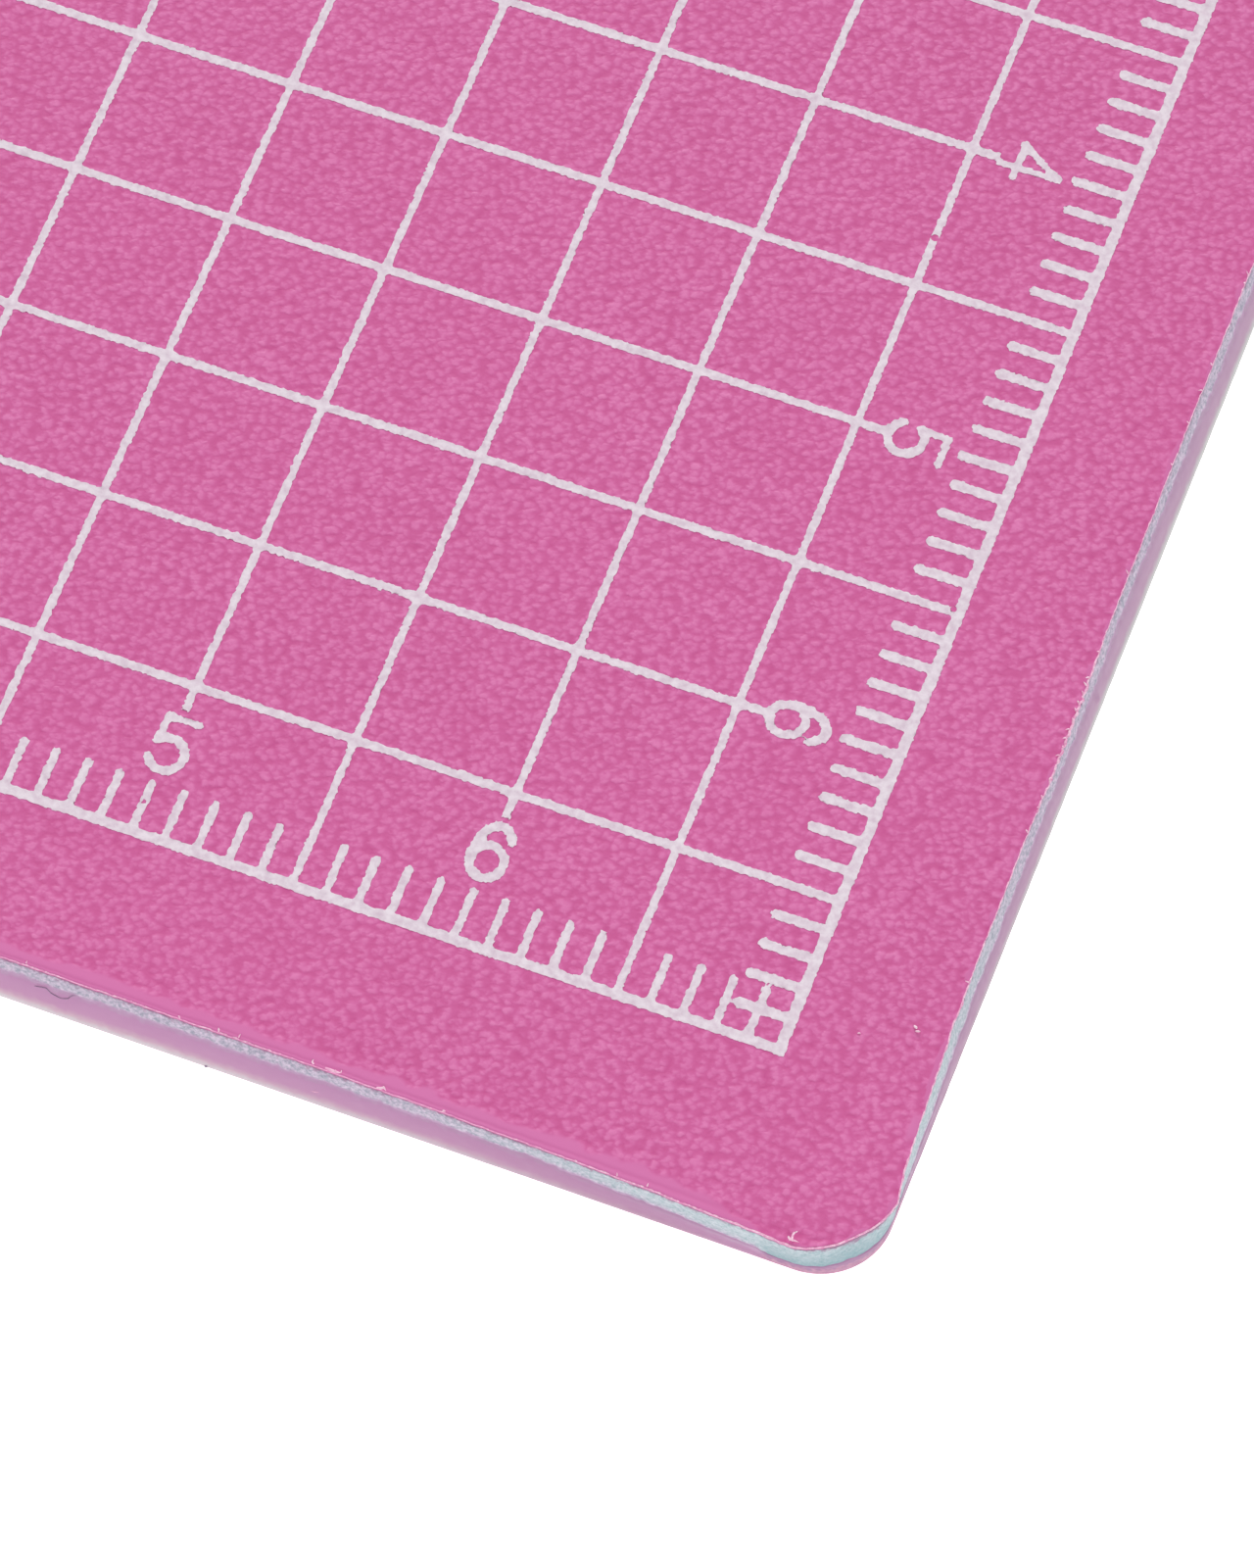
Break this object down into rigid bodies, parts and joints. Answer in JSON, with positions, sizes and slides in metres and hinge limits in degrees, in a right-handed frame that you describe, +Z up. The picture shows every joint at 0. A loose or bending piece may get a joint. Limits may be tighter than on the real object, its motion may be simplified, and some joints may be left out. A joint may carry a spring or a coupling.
{
  "type": "cutting mat",
  "caption": "Small square self-healing cutting mat: a bonded plate of grained pink skin, mint core and pink base, printed with a half-centimetre grid and centimetre rulers.",
  "frame": {"origin": "centre of the flat underside", "axes": "+X along the front ruler towards the corner where both rulers end, +Y from the front ruler to the back, +Z up out of the printed face"},
  "size_m": [0.08, 0.08, 0.002],
  "materials": {
    "bottom_skin": "smooth satin PVC",
    "core": "matt, faintly striated cut PVC foam",
    "top_skin": "pebble-grained satin PVC",
    "ink": "matt screen-printed white ink"
  },
  "bodies": {
    "root": {"bottom_skin": "bottom_skin", "core": "core", "top_skin": "top_skin", "printed_grid": "ink", "printed_frame": "ink", "marks_front": "ink", "marks_right": "ink", "marks_back": "ink", "marks_left": "ink", "numerals_front": "ink", "numerals_right": "ink", "numerals_back": "ink", "numerals_left": "ink"}
  },
  "joints": []
}
